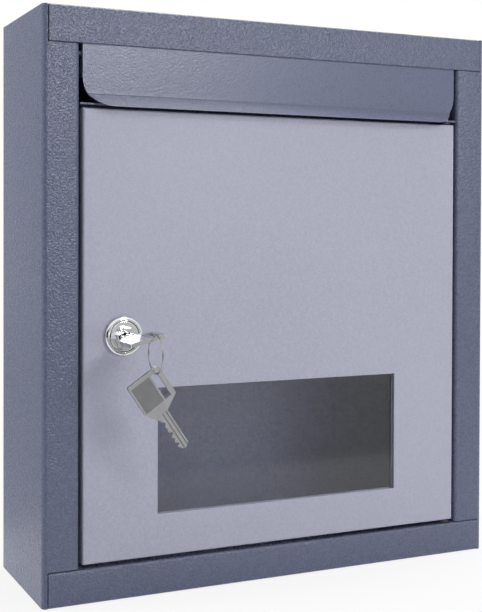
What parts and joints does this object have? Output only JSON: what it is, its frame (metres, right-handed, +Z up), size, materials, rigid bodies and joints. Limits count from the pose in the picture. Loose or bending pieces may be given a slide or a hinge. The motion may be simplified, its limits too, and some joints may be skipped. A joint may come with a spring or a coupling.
{
  "type": "suggestion box",
  "caption": "Wall-mounted steel suggestion box with a lifting letter flap, a hinged door with a window, a cam lock, and keys on a ring.",
  "frame": {"origin": "middle of the base plate's underside, halfway between the front of the stiles and the back plate", "axes": "+Z up, the door faces -Y, +X towards the hinge side of the door, away from its lock"},
  "size_m": [0.27, 0.1243, 0.305],
  "materials": {
    "shell_paint": "dark blue-grey powder coat with a fine leather texture, satin",
    "door_paint": "silver-grey powder coat, satin",
    "clear_acrylic": "clear acrylic, polished",
    "zinc": "zinc plated",
    "chrome": "bright chrome plate",
    "nickel": "nickel plate, tumbled",
    "black_nylon": "moulded black nylon"
  },
  "bodies": {
    "box": {"left_side": "shell_paint", "right_side": "shell_paint", "top_panel": "shell_paint", "bottom_panel": "shell_paint", "back_panel": "shell_paint", "slot_rail": "shell_paint", "flap_rod": "shell_paint", "flap_clip_left": "zinc", "flap_clip_right": "zinc", "hinge_washer_upper": "black_nylon", "hinge_washer_lower": "black_nylon"},
    "flap": {"flap": "shell_paint"},
    "door": {"door_panel": "door_paint", "window_pane": "clear_acrylic", "pane_channel_left": "door_paint", "pane_channel_right": "door_paint", "pane_channel_bottom": "door_paint", "hinge_pin_upper": "zinc", "hinge_pin_lower": "zinc", "lock_body": "chrome", "lock_washer": "zinc", "lock_nut": "zinc"},
    "plug": {"lock_plug": "chrome", "lock_cam": "zinc", "cam_screw": "zinc"},
    "key": {"key_in_lock": "nickel"},
    "ring": {"key_ring": "nickel"},
    "spare": {"spare_key": "nickel"}
  },
  "joints": [
    {"name": "flap_hinge", "type": "hinge", "parent": "box", "child": "flap", "pos_m": [0, -0.03645, 0.2817], "axis": [-1, 0, 0], "range_deg": [0, 90]},
    {"name": "door_hinge", "type": "hinge", "parent": "box", "child": "door", "pos_m": [0.1099, -0.03675, 0.02], "axis": [0, 0, 1], "range_deg": [0, 110]},
    {"name": "plug_turn", "type": "hinge", "parent": "door", "child": "plug", "pos_m": [-0.0924, -0.04075, 0.1367], "axis": [0, 1, 0], "range_deg": [0, 90]},
    {"name": "key_slide", "type": "slide", "parent": "plug", "child": "key", "axis": [0, -1, 0], "range_m": [-0.0065, 0.014]},
    {"name": "ring_swing", "type": "hinge", "parent": "key", "child": "ring", "pos_m": [-0.0868, -0.0733, 0.13799], "axis": [1, 0, 0], "range_deg": [-25, 25]},
    {"name": "spare_swing", "type": "hinge", "parent": "ring", "child": "spare", "pos_m": [-0.0868, -0.0733, 0.12054], "axis": [0, 1, 0], "range_deg": [-40, 40]}
  ]
}
